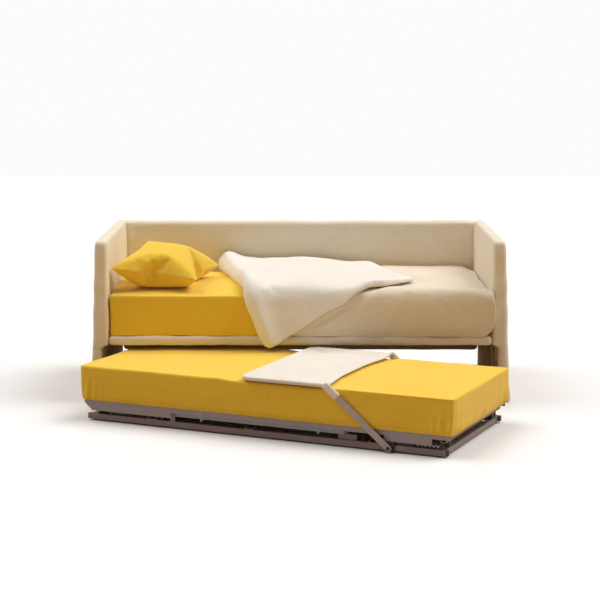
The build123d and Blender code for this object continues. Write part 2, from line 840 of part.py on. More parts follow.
# Slats of the lower bed in holders under the flanges
holder_top = flange_bottom
holder_outer = frame_face - frame_flange
slat_level = holder_top - holder_wall
frame_pitch = 2 * (tube_place - end_tube_width) / frame_slat_count
frame_places = [(index - (frame_slat_count - 1) / 2) * frame_pitch for index in range(frame_slat_count)]
grip_end = holder_outer + holder_lap - holder_length + slat_grip
holder_near = holder_outer + holder_lap
holder_far = holder_near - holder_length
with BuildPart() as slat_holders:
    for place in frame_places:
        for sign in (-1, 1):
            slab(
                bed,
                (place - frame_slat_width / 2 - holder_wall, place + frame_slat_width / 2 + holder_wall),
                (min(sign * holder_near, sign * holder_far), max(sign * holder_near, sign * holder_far)),
                (holder_top - holder_height, holder_top),
            )
        slab(
            bed,
            (place - frame_slat_width / 2, place + frame_slat_width / 2),
            (-grip_end, grip_end),
            (slat_level - frame_slat_thickness, slat_level),
            Mode.SUBTRACT,
        )
save(slat_holders.part, "slat_holders")
with BuildPart() as bed_slats:
    for place in frame_places:
        slab(
            bed,
            (place - frame_slat_width / 2, place + frame_slat_width / 2),
            (-grip_end, grip_end),
            (slat_level - frame_slat_thickness, slat_level),
        )
save(bed_slats.part, "bed_slats")

# Scissor lift: layers across the frame, counted inwards from the web of the rail
lug_outer = frame_face - frame_wall - arm_layer
lug_inner = lug_outer - lug_wall
first_outer = lug_inner - side_play
first_inner = first_outer - arm_wall
second_outer = first_inner - side_play
second_inner = second_outer - arm_wall
hanger_outer = second_inner - side_play
hanger_inner = hanger_outer - lug_wall
left_pivot = arm_centre - arm_half
right_end = arm_centre + arm_half


def across_pair(sign, far, near):
    """Levels of a bed_front plane at the middle, for a layer that lies between two distances."""
    return (near, far) if sign < 0 else (-far, -near)


middle_front = bed_front(0)


def arm_bar(sign, far, near, tie_along, bores):
    """One flat arm with round ends, the boss of its tie tube and the bores of its pins."""
    levels = across_pair(sign, far, near)
    with BuildSketch(middle_front.offset(levels[0])) as outline:
        with Locations((arm_centre, arm_axis_height)):
            SlotCenterToCenter(2 * arm_half, arm_height)
        with Locations((tie_along, arm_axis_height - tie_drop)):
            Circle(tie_boss)
        with Locations((tie_along, arm_axis_height - tie_drop / 2)):
            Rectangle(2 * tie_boss, tie_drop)
        for bore in bores:
            with Locations((bore, arm_axis_height)):
                Circle(pin_radius + running_gap, mode=Mode.SUBTRACT)
    extrude(outline.sketch, amount=levels[1] - levels[0])


with BuildPart() as outer_arms:
    for sign in (-1, 1):
        arm_bar(sign, first_outer, first_inner, outer_tie_along, (left_pivot,))
        disc(
            middle_front,
            (arm_centre, arm_axis_height),
            pin_radius,
            across_pair(sign, first_inner + side_play, second_inner - pin_head),
        )
        disc(
            middle_front,
            (arm_centre, arm_axis_height),
            pin_head_radius,
            across_pair(sign, second_inner - side_play / 2, second_inner - side_play / 2 - pin_head),
        )
        disc(
            middle_front,
            (right_end, arm_axis_height),
            pin_radius,
            across_pair(sign, frame_face - side_play, first_outer - side_play),
        )
    disc(middle_front, (outer_tie_along, arm_axis_height - tie_drop), tie_radius, (-first_inner, first_inner))
save(outer_arms.part, "outer_arms")

with BuildPart() as inner_arms:
    for sign in (-1, 1):
        arm_bar(sign, second_outer, second_inner, inner_tie_along, (left_pivot, arm_centre))
        disc(
            middle_front,
            (right_end, arm_axis_height),
            pin_radius,
            across_pair(sign, second_outer - side_play, hanger_inner - arm_wall),
        )
    disc(middle_front, (inner_tie_along, arm_axis_height - tie_drop), tie_radius, (-second_inner, second_inner))
save(inner_arms.part, "inner_arms")

# Rollers at the free ends: the outer ones under the rail, the inner ones on tracks on the base
with BuildPart() as outer_rollers:
    for sign in (-1, 1):
        levels = across_pair(sign, frame_face - side_play, first_outer + side_play)
        disc(middle_front, (right_end, arm_axis_height), roller_radius, levels)
        disc(middle_front, (right_end, arm_axis_height), pin_radius + running_gap, levels, Mode.SUBTRACT)
save(outer_rollers.part, "outer_rollers")
with BuildPart() as inner_rollers:
    for sign in (-1, 1):
        levels = across_pair(sign, hanger_outer, hanger_inner - arm_wall + side_play)
        disc(middle_front, (right_end, arm_axis_height), roller_radius, levels)
        disc(middle_front, (right_end, arm_axis_height), pin_radius + running_gap, levels, Mode.SUBTRACT)
save(inner_rollers.part, "inner_rollers")
with BuildPart() as roller_tracks:
    for sign in (-1, 1):
        slab(
            middle_front,
            (right_end - track_length / 2, right_end + track_length / 2),
            (base_top, arm_axis_height - roller_radius - seat_gap),
            across_pair(sign, hanger_outer, hanger_inner - arm_wall),
        )
save(roller_tracks.part, "roller_tracks")

# Lugs with pins: on the base for the outer arms, under the flanges for the inner arms
with BuildPart() as base_lugs:
    for sign in (-1, 1):
        levels = across_pair(sign, lug_outer, lug_inner)
        slab(
            middle_front,
            (left_pivot - lug_length / 2, left_pivot + lug_length / 2),
            (base_top, arm_axis_height),
            levels,
        )
        disc(middle_front, (left_pivot, arm_axis_height), lug_length / 2 - lug_wall, levels)
        disc(
            middle_front,
            (left_pivot, arm_axis_height),
            pin_radius,
            across_pair(sign, lug_inner + side_play, first_inner + side_play / 2),
        )
save(base_lugs.part, "base_lugs")
with BuildPart() as bed_lugs:
    for sign in (-1, 1):
        levels = across_pair(sign, hanger_outer, hanger_inner)
        slab(
            middle_front,
            (left_pivot - lug_length / 2, left_pivot + lug_length / 2),
            (arm_axis_height, flange_bottom),
            levels,
        )
        disc(middle_front, (left_pivot, arm_axis_height), lug_length / 2 - lug_wall, levels)
        disc(
            middle_front,
            (left_pivot, arm_axis_height),
            pin_radius,
            across_pair(sign, second_outer - side_play / 2, hanger_outer - side_play),
        )
save(bed_lugs.part, "bed_lugs")

# Lift springs, drawn out while the bed is down: each one unbroken tube between two hook blocks
spring_across = hanger_outer + spring_radius / 2
spring_length = spring_pitch * spring_curls
quarter = pi / 2
step = spring_pitch / 4
lean = step / (2 * spring_radius)


def spring_point(index, across):
    """A point on the coil after some quarter turns."""
    angle = index * quarter
    return Vector(
        spring_left + hook_length + spring_bend + 2 * wire_radius + index * step,
        across + spring_radius * sin(angle),
        spring_axis_height + spring_radius * cos(angle),
    )


def spring_heading(index):
    """The steady direction of the coil after some quarter turns."""
    angle = index * quarter
    return Vector(lean, cos(angle), -sin(angle)).normalized()


def to_bed(point):
    """A point of the lower bed in the frame of the whole."""
    return bed.from_local_coords(point)


def heading_to_bed(heading):
    """A direction of the lower bed in the frame of the whole."""
    return bed.x_dir * heading.X + bed.y_dir * heading.Y + bed.z_dir * heading.Z


axial = Vector(1, 0, 0)
quarter_count = 4 * spring_curls
spring_right = 0
with BuildPart() as lift_springs:
    for sign in (-1, 1):
        across = sign * spring_across
        first = spring_point(0, across)
        last = spring_point(quarter_count, across)
        entry = first - (axial + spring_heading(0)).normalized() * spring_bend
        leave = last + (axial + spring_heading(quarter_count)).normalized() * spring_bend
        start = entry - axial * (2 * wire_radius)
        finish = leave + axial * (2 * wire_radius)
        spring_right = finish.X
        with BuildLine() as coil:
            Line(to_bed(start), to_bed(entry))
            TangentArc(to_bed(entry), to_bed(first), tangent=heading_to_bed(axial))
            for index in range(quarter_count):
                TangentArc(
                    to_bed(spring_point(index, across)),
                    to_bed(spring_point(index + 1, across)),
                    tangent=heading_to_bed(spring_heading(index)),
                )
            TangentArc(to_bed(last), to_bed(leave), tangent=heading_to_bed(spring_heading(quarter_count)))
            Line(to_bed(leave), to_bed(finish))
        wire_plane = Plane(origin=to_bed(start), x_dir=bed.y_dir, z_dir=bed.x_dir)
        with BuildSketch(wire_plane) as wire:
            Circle(wire_radius)
        sweep(wire.sketch, path=coil.wires()[0])
        spring_start = start.X
save(lift_springs.part, "lift_springs")
gap_steps = 5  # places in each quarter turn where the gap is measured
least_gap = min(
    (spring_point(index / gap_steps, 0) - spring_point(other / gap_steps, 0)).length
    for index in range(gap_steps * quarter_count)
    for other in range(index + 2 * gap_steps + 2, min(index + 6 * gap_steps, gap_steps * quarter_count))
)
print("least gap between the curls of a lift spring:", round(least_gap - 2 * wire_radius, 2))

# Hook blocks on the base at both ends of each spring, and the housing of its tension screw
with BuildPart() as spring_hooks:
    for sign in (-1, 1):
        across = sign * spring_across
        edges = (across - hook_width / 2, across + hook_width / 2)
        for near, far in ((spring_start - hook_length, spring_start), (spring_right, spring_right + hook_length)):
            slab(
                bed,
                (near, far),
                edges,
                (base_top, spring_axis_height + spring_radius + wire_radius),
            )
save(spring_hooks.part, "spring_hooks")
with BuildPart() as spring_housings:
    for sign in (-1, 1):
        across = sign * spring_across
        with BuildSketch(bed_end(spring_start - hook_length - housing_length)) as profile:
            with Locations((across, spring_axis_height)):
                Circle(housing_radius)
            with Locations((across, (base_top + spring_axis_height) / 2)):
                Rectangle(2 * housing_radius, spring_axis_height - base_top)
        extrude(profile.sketch, amount=housing_length)
save(spring_housings.part, "spring_housings")

# Headrest: flat arms outside the mattress, a round tube inside the sleeve, and the sleeve itself
sleeve_bottom = lower_top + headrest_lift
sleeve_top = sleeve_bottom + headrest_thickness
sleeve_middle = (sleeve_bottom + sleeve_top) / 2
arm_inside = lower_mattress_width / 2 + headrest_bar_gap
arm_outside = arm_inside + headrest_bar_wall
tube_across = arm_inside - side_play - headrest_tube_radius
elbow_along = headrest_near + headrest_tube_radius
arm_end_height = sleeve_top - headrest_bar_width / 2
pivot = (headrest_pivot_along, headrest_pivot_height)
with BuildPart() as headrest_arms:
    for sign in (-1, 1):
        levels = across_pair(sign, arm_outside, arm_inside)
        with BuildSketch(middle_front.offset(levels[0])) as arm_face:
            SlotCenterPoint(
                center=((pivot[0] + elbow_along) / 2, (pivot[1] + arm_end_height) / 2),
                point=pivot,
                height=headrest_bar_width,
            )
            with Locations(pivot):
                Circle(headrest_pin_radius + running_gap, mode=Mode.SUBTRACT)
        extrude(arm_face.sketch, amount=levels[1] - levels[0])
        disc(
            middle_front,
            (elbow_along, sleeve_middle),
            bolt_stub,
            across_pair(sign, arm_inside + side_play, tube_across - headrest_tube_radius / 2),
        )
save(headrest_arms.part, "headrest_arms")
tube_far = headrest_far + headrest_hem + headrest_tube_radius
with BuildPart() as headrest_tube:
    with BuildLine(bed.offset(sleeve_middle)) as tube_path:
        FilletPolyline(
            (elbow_along + headrest_tube_radius, -tube_across),
            (tube_far, -tube_across),
            (tube_far, tube_across),
            (elbow_along + headrest_tube_radius, tube_across),
            radius=headrest_bend,
        )
    tube_start = bed_end(elbow_along + headrest_tube_radius)
    with BuildSketch(tube_start) as tube_ring:
        with Locations((-tube_across, sleeve_middle)):
            Circle(headrest_tube_radius)
    sweep(tube_ring.sketch, path=tube_path.wires()[0])
    disc(
        middle_front,
        (elbow_along, sleeve_middle),
        bolt_stub + running_gap,
        (-arm_outside, arm_outside),
        Mode.SUBTRACT,
    )
save(headrest_tube.part, "headrest_tube")
with BuildPart() as headrest_sleeve:
    with BuildSketch(bed.offset(sleeve_bottom)) as panel:
        with Locations(((headrest_near + headrest_far) / 2, 0)):
            RectangleRounded(
                headrest_near - headrest_far, 2 * (arm_outside + headrest_hem), headrest_bend
            )
    extrude(panel.sketch, amount=headrest_thickness)
    fillet(headrest_sleeve.edges().group_by(Axis.Z)[-1], headrest_hem)
    with BuildSketch(tube_start) as channel_ring:
        with Locations((-tube_across, sleeve_middle)):
            Circle(headrest_tube_radius + seat_gap)
    sweep(channel_ring.sketch, path=tube_path.wires()[0], mode=Mode.SUBTRACT)
    for sign in (-1, 1):
        levels = across_pair(sign, arm_outside + headrest_hem + overrun, arm_inside - side_play)
        slab(
            middle_front,
            (headrest_near - headrest_bar_width, headrest_near + overrun),
            (sleeve_bottom - overrun, sleeve_top + overrun),
            levels,
            Mode.SUBTRACT,
        )
save(headrest_sleeve.part, "headrest_sleeve")

# Black brackets under the bed rails that carry the headrest pins
post_outer = base_face + bracket_stand + bracket_wall
post_inner = base_face + bracket_stand
bracket_inner = frame_face - frame_wall - side_play
bracket_back = bracket_inner - bracket_wall
step_top = frame_bottom - side_play
step_bottom = base_top + bracket_stand
with BuildPart() as headrest_brackets:
    for sign in (-1, 1):
        edges = (pivot[0] - bracket_width / 2, pivot[0] + bracket_width / 2)
        with BuildSketch(middle_front.offset(across_pair(sign, post_outer, post_inner)[0])) as post:
            with BuildLine():
                Polyline(
                    (edges[0], step_top),
                    (pivot[0] - bracket_foot, bracket_foot_height),
                    (pivot[0] + bracket_foot, bracket_foot_height),
                    (edges[1], step_top),
                    close=True,
                )
            make_face()
        extrude(post.sketch, amount=bracket_wall)
        slab(middle_front, edges, (step_bottom, step_top), across_pair(sign, post_outer, bracket_back))
        slab(middle_front, edges, (step_bottom, bracket_top), across_pair(sign, bracket_inner, bracket_back))
        disc(middle_front, pivot, collar_radius, across_pair(sign, arm_inside - side_play, post_outer - side_play))
        disc(middle_front, pivot, headrest_pin_radius, across_pair(sign, arm_outside + side_play, post_outer))
        disc(
            middle_front,
            pivot,
            collar_radius,
            across_pair(sign, arm_outside + 2 * pin_head, arm_outside + side_play / 2),
        )
save(headrest_brackets.part, "headrest_brackets")
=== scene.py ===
import json
from math import cos, exp, pi, radians, sin

import bmesh
import bpy
from mathutils import Matrix, Vector, noise


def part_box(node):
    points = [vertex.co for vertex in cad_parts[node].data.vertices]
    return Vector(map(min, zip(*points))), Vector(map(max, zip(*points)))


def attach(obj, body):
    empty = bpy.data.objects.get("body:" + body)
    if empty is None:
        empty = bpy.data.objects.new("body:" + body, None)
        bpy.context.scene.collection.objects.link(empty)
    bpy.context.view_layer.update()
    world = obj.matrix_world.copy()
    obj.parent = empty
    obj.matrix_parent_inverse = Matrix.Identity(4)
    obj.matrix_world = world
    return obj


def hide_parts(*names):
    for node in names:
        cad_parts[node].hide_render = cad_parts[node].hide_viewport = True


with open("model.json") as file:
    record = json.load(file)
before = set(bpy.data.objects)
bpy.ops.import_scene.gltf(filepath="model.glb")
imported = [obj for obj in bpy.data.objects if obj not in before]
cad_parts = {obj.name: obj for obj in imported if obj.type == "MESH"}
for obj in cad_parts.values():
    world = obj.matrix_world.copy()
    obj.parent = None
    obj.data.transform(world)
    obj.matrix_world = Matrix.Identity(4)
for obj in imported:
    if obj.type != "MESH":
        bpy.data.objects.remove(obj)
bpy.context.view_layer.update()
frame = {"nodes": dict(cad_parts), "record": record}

nodes = frame["nodes"]
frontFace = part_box("left_side_panel")[0].y
print("frame loaded:", len(nodes), "nodes")


# ---- materials ----

def addGroup(name, inputs, outputs):
    group = bpy.data.node_groups.new(name, "ShaderNodeTree")
    for label, kind, value in inputs:
        socket = group.interface.new_socket(label, in_out="INPUT", socket_type=kind)
        if value is not None:
            socket.default_value = value
    for label, kind in outputs:
        group.interface.new_socket(label, in_out="OUTPUT", socket_type=kind)
    return group, group.nodes.new("NodeGroupInput"), group.nodes.new("NodeGroupOutput")


def mathNode(tree, operation, a, b=None, clamp=False):
    node = tree.nodes.new("ShaderNodeMath")
    node.operation = operation
    node.use_clamp = clamp
    for socket, value in zip(node.inputs, (a, b)):
        if value is None:
            continue
        if hasattr(value, "is_output"):
            tree.links.new(value, socket)
        else:
            socket.default_value = value
    return node.outputs[0]


def rangeNode(tree, value, fromLow, fromHigh, toLow=0.0, toHigh=1.0):
    node = tree.nodes.new("ShaderNodeMapRange")
    tree.links.new(value, node.inputs["Value"])
    node.inputs["From Min"].default_value = fromLow
    node.inputs["From Max"].default_value = fromHigh
    node.inputs["To Min"].default_value = toLow
    node.inputs["To Max"].default_value = toHigh
    return node.outputs["Result"]


def noiseNode(tree, vector, scale, detail=2.0, rough=0.5, distortion=0.0):
    node = tree.nodes.new("ShaderNodeTexNoise")
    tree.links.new(vector, node.inputs["Vector"])
    node.inputs["Scale"].default_value = scale
    node.inputs["Detail"].default_value = detail
    node.inputs["Roughness"].default_value = rough
    node.inputs["Distortion"].default_value = distortion
    return node.outputs["Fac"]


def stretched(tree, vector, along):
    node = tree.nodes.new("ShaderNodeVectorMath")
    node.operation = "MULTIPLY"
    tree.links.new(vector, node.inputs[0])
    node.inputs[1].default_value = along
    return node.outputs[0]


# threads of a woven cloth: long slubs that cross, and small dark flecks
weaveGroup, weaveIn, weaveOut = addGroup(
    "wovenCloth",
    [("Vector", "NodeSocketVector", None), ("Slub", "NodeSocketFloat", 0.5), ("Fleck", "NodeSocketFloat", 0.2)],
    [("Tone", "NodeSocketFloat"), ("Height", "NodeSocketFloat")],
)
upright = noiseNode(weaveGroup, stretched(weaveGroup, weaveIn.outputs["Vector"], (520, 520, 34)), 1.0, 2.0, 0.6)
sideways = noiseNode(weaveGroup, stretched(weaveGroup, weaveIn.outputs["Vector"], (30, 520, 520)), 1.0, 2.0, 0.6)
crossed = mathNode(weaveGroup, "ADD", upright, sideways)
slubs = rangeNode(weaveGroup, crossed, 0.75, 1.25, -0.5, 0.5)
flecks = rangeNode(weaveGroup, noiseNode(weaveGroup, weaveIn.outputs["Vector"], 210, 1.0, 0.6), 0.66, 0.74)
toned = mathNode(weaveGroup, "MULTIPLY", slubs, weaveIn.outputs["Slub"])
toned = mathNode(weaveGroup, "SUBTRACT", toned, mathNode(weaveGroup, "MULTIPLY", flecks, weaveIn.outputs["Fleck"]))
weaveGroup.links.new(mathNode(weaveGroup, "ADD", toned, 0.5, clamp=True), weaveOut.inputs["Tone"])
weaveGroup.links.new(crossed, weaveOut.inputs["Height"])

# slow uneven tone: handling, dust and the nap of the cloth
patchGroup, patchIn, patchOut = addGroup(
    "unevenTone",
    [("Vector", "NodeSocketVector", None), ("Scale", "NodeSocketFloat", 4.0)],
    [("Tone", "NodeSocketFloat")],
)
patchNoise = patchGroup.nodes.new("ShaderNodeTexNoise")
patchGroup.links.new(patchIn.outputs["Vector"], patchNoise.inputs["Vector"])
patchGroup.links.new(patchIn.outputs["Scale"], patchNoise.inputs["Scale"])
patchNoise.inputs["Detail"].default_value = 4.0
patchGroup.links.new(rangeNode(patchGroup, patchNoise.outputs["Fac"], 0.3, 0.7), patchOut.inputs["Tone"])

# fine scuffs and brushed lines on coated and bare metal
scuffGroup, scuffIn, scuffOut = addGroup(
    "metalScuff",
    [("Vector", "NodeSocketVector", None), ("Amount", "NodeSocketFloat", 0.5)],
    [("Tone", "NodeSocketFloat"), ("Height", "NodeSocketFloat")],
)
speck = noiseNode(scuffGroup, scuffIn.outputs["Vector"], 620, 2.0, 0.6)
rubbed = rangeNode(scuffGroup, noiseNode(scuffGroup, scuffIn.outputs["Vector"], 26, 4.0, 0.65, 0.6), 0.55, 0.75)
scuffGroup.links.new(mathNode(scuffGroup, "MULTIPLY", rubbed, scuffIn.outputs["Amount"]), scuffOut.inputs["Tone"])
scuffGroup.links.new(speck, scuffOut.inputs["Height"])


def newMaterial(name):
    material = bpy.data.materials.new(name)
    material.use_nodes = True
    tree = material.node_tree
    shader = tree.nodes["Principled BSDF"]
    place = tree.nodes.new("ShaderNodeTexCoord").outputs["Object"]
    return material, tree, shader, place


def placeGroup(tree, group, place, **values):
    node = tree.nodes.new("ShaderNodeGroup")
    node.node_tree = group
    tree.links.new(place, node.inputs["Vector"])
    for label, value in values.items():
        node.inputs[label].default_value = value
    return node


def colourRamp(tree, factor, stops):
    ramp = tree.nodes.new("ShaderNodeValToRGB")
    tree.links.new(factor, ramp.inputs["Fac"])
    elements = ramp.color_ramp.elements
    elements[0].position, elements[0].color = stops[0][0], (*stops[0][1], 1)
    elements[1].position, elements[1].color = stops[-1][0], (*stops[-1][1], 1)
    for position, colour in stops[1:-1]:
        elements.new(position).color = (*colour, 1)
    return ramp.outputs["Color"]


def addBump(tree, shader, height, strength, distance):
    bump = tree.nodes.new("ShaderNodeBump")
    bump.inputs["Strength"].default_value = strength
    bump.inputs["Distance"].default_value = distance
    tree.links.new(height, bump.inputs["Height"])
    tree.links.new(bump.outputs["Normal"], shader.inputs["Normal"])
    return bump


clothFinishes = {
    # dark thread, plain thread, pale thread, slub, fleck, weave bump, crease bump, sheen
    "linen": dict(
        dark=(0.66, 0.55, 0.41), plain=(0.865, 0.785, 0.65), pale=(0.91, 0.845, 0.73),
        slub=0.24, fleck=0.12, weave=0.32, crease=0.25, sheen=0.15,
    ),
    "sheetYellow": dict(
        dark=(0.82, 0.50, 0.030), plain=(0.90, 0.61, 0.055), pale=(0.93, 0.665, 0.078),
        slub=0.30, fleck=0.0, weave=0.12, crease=0.35, sheen=0.25,
    ),
    "duvetCotton": dict(
        dark=(0.62, 0.51, 0.38), plain=(0.835, 0.75, 0.615), pale=(0.885, 0.815, 0.695),
        slub=0.22, fleck=0.07, weave=0.25, crease=0.35, sheen=0.15,
    ),
    "flapCotton": dict(
        dark=(0.72, 0.66, 0.58), plain=(0.88, 0.845, 0.79), pale=(0.93, 0.91, 0.87),
        slub=0.22, fleck=0.04, weave=0.22, crease=0.35, sheen=0.15,
    ),
    "headrestCloth": dict(
        dark=(0.52, 0.45, 0.38), plain=(0.85, 0.80, 0.73), pale=(0.91, 0.88, 0.83),
        slub=0.26, fleck=0.42, weave=0.35, crease=0.20, sheen=0.1,
    ),
}


def clothMaterial(name, finish):
    material, tree, shader, place = newMaterial(name)
    weave = placeGroup(tree, weaveGroup, place, Slub=finish["slub"], Fleck=finish["fleck"])
    patch = placeGroup(tree, patchGroup, place, Scale=3.5)
    tone = mathNode(tree, "ADD", weave.outputs["Tone"], rangeNode(tree, patch.outputs["Tone"], 0, 1, -0.06, 0.06))
    colour = colourRamp(tree, tone, [(0.12, finish["dark"]), (0.5, finish["plain"]), (0.9, finish["pale"])])
    tree.links.new(colour, shader.inputs["Base Color"])
    shader.inputs["Roughness"].default_value = 0.92
    shader.inputs["Sheen Weight"].default_value = finish["sheen"]
    shader.inputs["Sheen Roughness"].default_value = 0.5
    shader.inputs["Specular IOR Level"].default_value = 0.2
    crease = noiseNode(tree, place, 13, 3.0, 0.55, 0.9)
    soft = addBump(tree, shader, crease, finish["crease"], 0.012)
    threads = tree.nodes.new("ShaderNodeBump")
    threads.inputs["Strength"].default_value = finish["weave"]
    threads.inputs["Distance"].default_value = 0.0008
    tree.links.new(weave.outputs["Height"], threads.inputs["Height"])
    tree.links.new(soft.outputs["Normal"], threads.inputs["Normal"])
    tree.links.new(threads.outputs["Normal"], shader.inputs["Normal"])
    return material


metalFinishes = {
    "greySteel": dict(colour=(0.31, 0.30, 0.335), rubbed=(0.40, 0.39, 0.42), rough=0.42, metal=0.35),
    "brownSteel": dict(colour=(0.22, 0.185, 0.19), rubbed=(0.31, 0.25, 0.235), rough=0.38, metal=0.40),
    "blueSteel": dict(colour=(0.25, 0.30, 0.35), rubbed=(0.37, 0.42, 0.47), rough=0.35, metal=0.55),
    "lightSteel": dict(colour=(0.38, 0.355, 0.362), rubbed=(0.50, 0.475, 0.48), rough=0.36, metal=0.60),
    "bareSteel": dict(colour=(0.52, 0.52, 0.53), rubbed=(0.68, 0.68, 0.69), rough=0.30, metal=0.95),
    "springSteel": dict(colour=(0.66, 0.66, 0.67), rubbed=(0.80, 0.80, 0.81), rough=0.22, metal=1.0),
}


def metalMaterial(name, finish):
    material, tree, shader, place = newMaterial(name)
    scuff = placeGroup(tree, scuffGroup, place, Amount=0.8)
    colour = colourRamp(tree, scuff.outputs["Tone"], [(0.0, finish["colour"]), (1.0, finish["rubbed"])])
    tree.links.new(colour, shader.inputs["Base Color"])
    rough = rangeNode(tree, scuff.outputs["Tone"], 0, 1, finish["rough"], finish["rough"] + 0.18)
    tree.links.new(rough, shader.inputs["Roughness"])
    shader.inputs["Metallic"].default_value = finish["metal"]
    addBump(tree, shader, scuff.outputs["Height"], 0.08, 0.0004)
    return material


plasticFinishes = {
    "blackPlastic": dict(colour=(0.012, 0.011, 0.011), worn=(0.035, 0.033, 0.032), rough=0.45),
    "greyPlastic": dict(colour=(0.10, 0.10, 0.105), worn=(0.17, 0.17, 0.175), rough=0.5),
    "wheelRubber": dict(colour=(0.018, 0.018, 0.018), worn=(0.05, 0.05, 0.05), rough=0.75),
}


def plasticMaterial(name, finish):
    material, tree, shader, place = newMaterial(name)
    patch = placeGroup(tree, patchGroup, place, Scale=30.0)
    colour = colourRamp(tree, patch.outputs["Tone"], [(0.2, finish["colour"]), (1.0, finish["worn"])])
    tree.links.new(colour, shader.inputs["Base Color"])
    rough = rangeNode(tree, patch.outputs["Tone"], 0, 1, finish["rough"] - 0.06, finish["rough"] + 0.10)
    tree.links.new(rough, shader.inputs["Roughness"])
    addBump(tree, shader, noiseNode(tree, place, 900, 1.0), 0.15, 0.0003)
    return material


woodFinishes = {
    "board": dict(early=(0.62, 0.44, 0.25), late=(0.40, 0.25, 0.12), along=(2, 26, 26), rough=0.7),
    "beech": dict(early=(0.68, 0.46, 0.27), late=(0.50, 0.31, 0.16), along=(30, 2.2, 30), rough=0.45),
}


def woodMaterial(name, finish):
    material, tree, shader, place = newMaterial(name)
    grain = noiseNode(tree, stretched(tree, place, finish["along"]), 1.6, 6.0, 0.6, 0.8)
    pores = noiseNode(tree, stretched(tree, place, tuple(9 * a for a in finish["along"])), 1.0, 2.0)
    mixed = mathNode(tree, "ADD", mathNode(tree, "MULTIPLY", grain, 0.8), mathNode(tree, "MULTIPLY", pores, 0.2))
    colour = colourRamp(tree, mixed, [(0.35, finish["late"]), (0.6, finish["early"])])
    tree.links.new(colour, shader.inputs["Base Color"])
    shader.inputs["Roughness"].default_value = finish["rough"]
    addBump(tree, shader, pores, 0.2, 0.0006)
    return material


finishes = {}
for slotName, finish in clothFinishes.items():
    finishes[slotName] = clothMaterial(slotName, finish)
for slotName, finish in metalFinishes.items():
    finishes[slotName] = metalMaterial(slotName, finish)
for slotName, finish in plasticFinishes.items():
    finishes[slotName] = plasticMaterial(slotName, finish)
for slotName, finish in woodFinishes.items():
    finishes[slotName] = woodMaterial(slotName, finish)
slotFinish = {
    "linen": "linen", "sheet_yellow": "sheetYellow", "duvet_cotton": "duvetCotton", "flap_cotton": "flapCotton",
    "headrest_cloth": "headrestCloth", "grey_steel": "greySteel", "brown_steel": "brownSteel",
    "blue_steel": "blueSteel", "light_steel": "lightSteel", "bare_steel": "bareSteel",
    "spring_steel": "springSteel", "black_plastic": "blackPlastic", "grey_plastic": "greyPlastic",
    "wheel_rubber": "wheelRubber", "board": "board", "beech": "beech",
}
nodeSlot = {part["node"]: part["material_slot"] for part in frame["record"]["subparts"]}
for nodeName, cadObject in nodes.items():
    material = finishes[slotFinish[nodeSlot[nodeName]]]
    cadObject.data.materials.clear()
    cadObject.data.materials.append(material)
print("materials on the carried-over parts")


# ---- tools for the soft pieces ----

def newPiece(name, mesh, material):
    obj = bpy.data.objects.new(name, mesh)
    bpy.context.scene.collection.objects.link(obj)
    mesh.materials.clear()
    mesh.materials.append(material)
    return obj


def meshFrom(bm, name):
    bmesh.ops.recalc_face_normals(bm, faces=bm.faces)
    mesh = bpy.data.meshes.new(name)
    bm.to_mesh(mesh)
    bm.free()
    return mesh


def bake(obj):
    # what the live modifiers make becomes the mesh
    graph = bpy.context.evaluated_depsgraph_get()
    made = bpy.data.meshes.new_from_object(obj.evaluated_get(graph))
    old = obj.data
    obj.modifiers.clear()
    obj.data = made
    bpy.data.meshes.remove(old)


def remesh(obj, size, smooth=0):
    voxels = obj.modifiers.new("remesh", "REMESH")
    voxels.mode = "VOXEL"
    voxels.voxel_size = size
    voxels.use_smooth_shade = True
    if smooth:
        ease = obj.modifiers.new("ease", "SMOOTH")
        ease.factor = 0.5
        ease.iterations = smooth
    bake(obj)


def inflate(obj, pressure, frames, cap, mass=0.3, tension=15.0, bending=0.4):
    # a short cloth run, with every point held within the cap of where it began
    cloth = obj.modifiers.new("cloth", "CLOTH")
    settings = cloth.settings
    settings.quality = 6
    settings.mass = mass
    settings.tension_stiffness = settings.compression_stiffness = settings.shear_stiffness = tension
    settings.bending_stiffness = bending
    settings.use_pressure = True
    settings.uniform_pressure_force = pressure
    settings.effector_weights.gravity = 0.0
    cloth.collision_settings.use_collision = False
    cloth.point_cache.frame_start, cloth.point_cache.frame_end = 1, frames
    scene = bpy.context.scene
    for number in range(1, frames + 1):
        scene.frame_set(number)
    graph = bpy.context.evaluated_depsgraph_get()
    moved = [v.co.copy() for v in obj.evaluated_get(graph).data.vertices]
    obj.modifiers.clear()
    obj.vertex_groups.clear()
    held = []
    for vertex, place in zip(obj.data.vertices, moved):
        step = place - vertex.co
        if step.length > cap:
            step *= cap / step.length
        held.extend(vertex.co + step)
    obj.data.vertices.foreach_set("co", held)
    obj.data.update()
    scene.frame_set(1)


def smoothShade(obj):
    obj.data.polygons.foreach_set("use_smooth", [True] * len(obj.data.polygons))


def reshape(obj, mover):
    # every point goes where the mover puts it, from its place and its normal
    points = [(vertex.co.copy(), vertex.normal.copy()) for vertex in obj.data.vertices]
    flat = [number for place, normal in points for number in mover(place, normal)]
    obj.data.vertices.foreach_set("co", flat)
    obj.data.update()


def ramp(value, low, high):
    t = min(1.0, max(0.0, (value - low) / (high - low)))
    return t * t * (3 - 2 * t)


def ripple(place, scale, seed=0.0):
    return noise.noise(Vector((place[0] * scale[0] + seed, place[1] * scale[1], place[2] * scale[2])))


